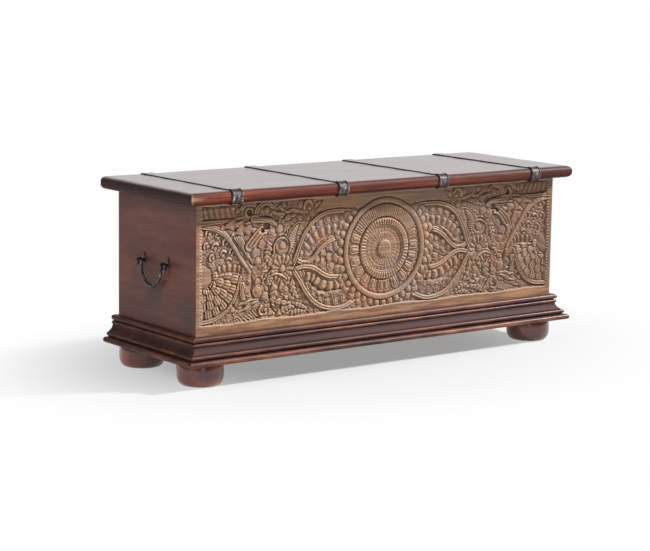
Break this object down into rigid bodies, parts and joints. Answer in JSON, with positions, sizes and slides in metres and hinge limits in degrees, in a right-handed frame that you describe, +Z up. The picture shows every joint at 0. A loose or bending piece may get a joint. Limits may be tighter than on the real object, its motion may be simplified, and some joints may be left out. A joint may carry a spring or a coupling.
{
  "type": "carved wooden storage chest",
  "caption": "Low carved wooden storage chest with hinged lid, iron straps, end drop handles, moulded base and bun feet.",
  "frame": {"origin": "on the floor, under the middle of the whole chest", "axes": "+X along the carved front to its right end, +Z up, carved front towards -Y"},
  "size_m": [1.161, 0.399, 0.4535],
  "materials": {
    "carved_wood": "waxed, dark in the recesses",
    "case_wood": "dark red-brown stain, satin",
    "inner_wood": "bare sawn wood",
    "base_wood": "dark stain, worn on the arrises",
    "foot_wood": "dark stain, gloss",
    "lid_wood": "dark red-brown stain, satin gloss",
    "strap_iron": "blackened, worn bright on the edges",
    "nail_iron": "blackened, worn bright",
    "hinge_steel": "dark oiled",
    "screw_steel": "dark oiled",
    "handle_iron": "forged, blackened"
  },
  "bodies": {
    "case": {"carved_front": "carved_wood", "side_left": "case_wood", "side_right": "case_wood", "back_panel": "case_wood", "bottom_board": "inner_wood", "cleat_front": "inner_wood", "cleat_back": "inner_wood", "cleat_left": "inner_wood", "cleat_right": "inner_wood", "foot_block_front_left": "inner_wood", "foot_block_front_right": "inner_wood", "foot_block_back_left": "inner_wood", "foot_block_back_right": "inner_wood", "foot_front_left": "foot_wood", "foot_front_right": "foot_wood", "foot_back_left": "foot_wood", "foot_back_right": "foot_wood", "plinth_front": "base_wood", "plinth_left": "base_wood", "plinth_right": "base_wood", "plinth_back": "base_wood", "hinge_case_leaves": "hinge_steel", "hinge_pins": "hinge_steel", "hinge_case_screws": "screw_steel", "handle_eyes_left": "handle_iron", "rose_plates_left": "handle_iron", "handle_washers_left": "handle_iron", "handle_eyes_right": "handle_iron", "rose_plates_right": "handle_iron", "handle_washers_right": "handle_iron"},
    "lid": {"lid_board": "lid_wood", "strap_outer_left": "strap_iron", "strap_inner_left": "strap_iron", "strap_inner_right": "strap_iron", "strap_outer_right": "strap_iron", "strap_nails_front": "nail_iron", "strap_nails_back": "nail_iron", "hinge_lid_leaves": "hinge_steel", "hinge_lid_screws": "screw_steel"},
    "bail_left": {"bail_left": "handle_iron"},
    "bail_right": {"bail_right": "handle_iron"}
  },
  "joints": [
    {"name": "lid_hinge", "type": "hinge", "parent": "case", "child": "lid", "pos_m": [0, 0.177, 0.4145], "axis": [-1, 0, 0], "range_deg": [0, 105]},
    {"name": "bail_left_swing", "type": "hinge", "parent": "case", "child": "bail_left", "pos_m": [-0.5575, 0.005, 0.267], "axis": [0, 1, 0], "range_deg": [-8, 180]},
    {"name": "bail_right_swing", "type": "hinge", "parent": "case", "child": "bail_right", "pos_m": [0.5575, 0.005, 0.267], "axis": [0, -1, 0], "range_deg": [-8, 180]}
  ]
}
